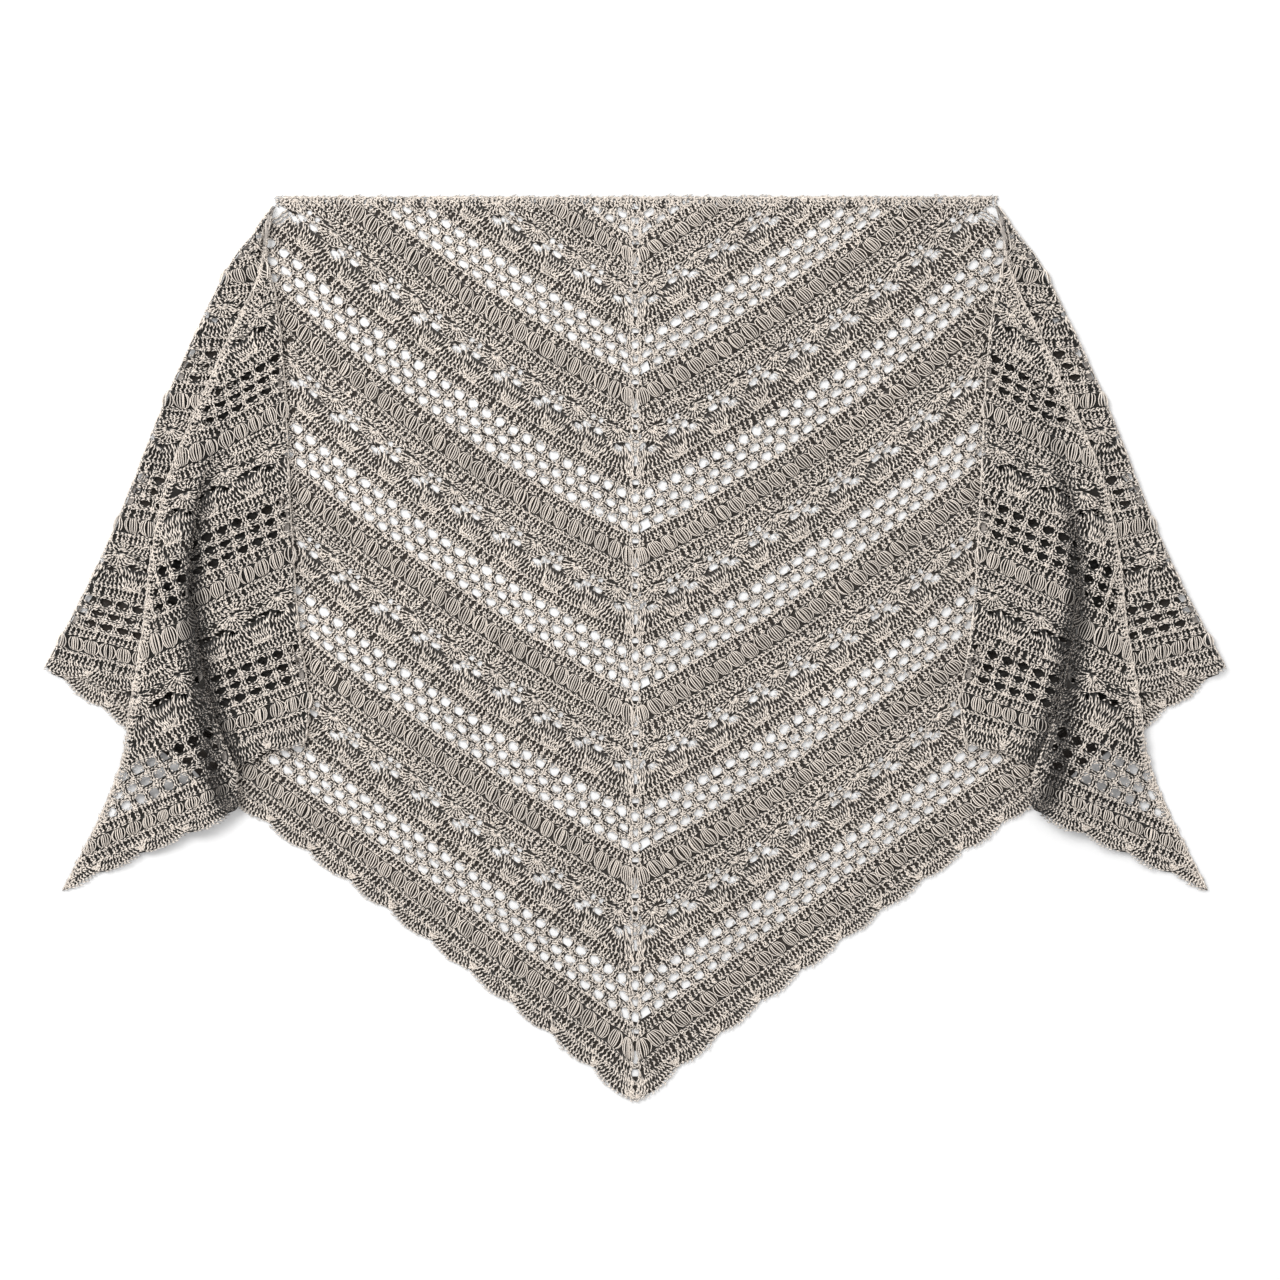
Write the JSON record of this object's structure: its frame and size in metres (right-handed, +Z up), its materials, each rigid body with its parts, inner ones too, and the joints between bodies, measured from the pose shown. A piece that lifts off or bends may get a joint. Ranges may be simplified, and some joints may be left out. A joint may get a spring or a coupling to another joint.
{
  "type": "shawl",
  "caption": "Crocheted triangular shawl in taupe yarn, laid flat with both ends folded over its front.",
  "frame": {"origin": "middle of the shawl's box, on the surface it lies on", "axes": "+Y from the tip of the hem to the long top edge, +X to the right as seen from above, +Z up"},
  "size_m": [0.9798, 0.754, 0.0182],
  "materials": {
    "yarn": "matte"
  },
  "bodies": {
    "root": {"centre_panel": "yarn", "left_turned_back": "yarn", "left_end": "yarn", "right_turned_back": "yarn", "right_end": "yarn"}
  },
  "joints": []
}
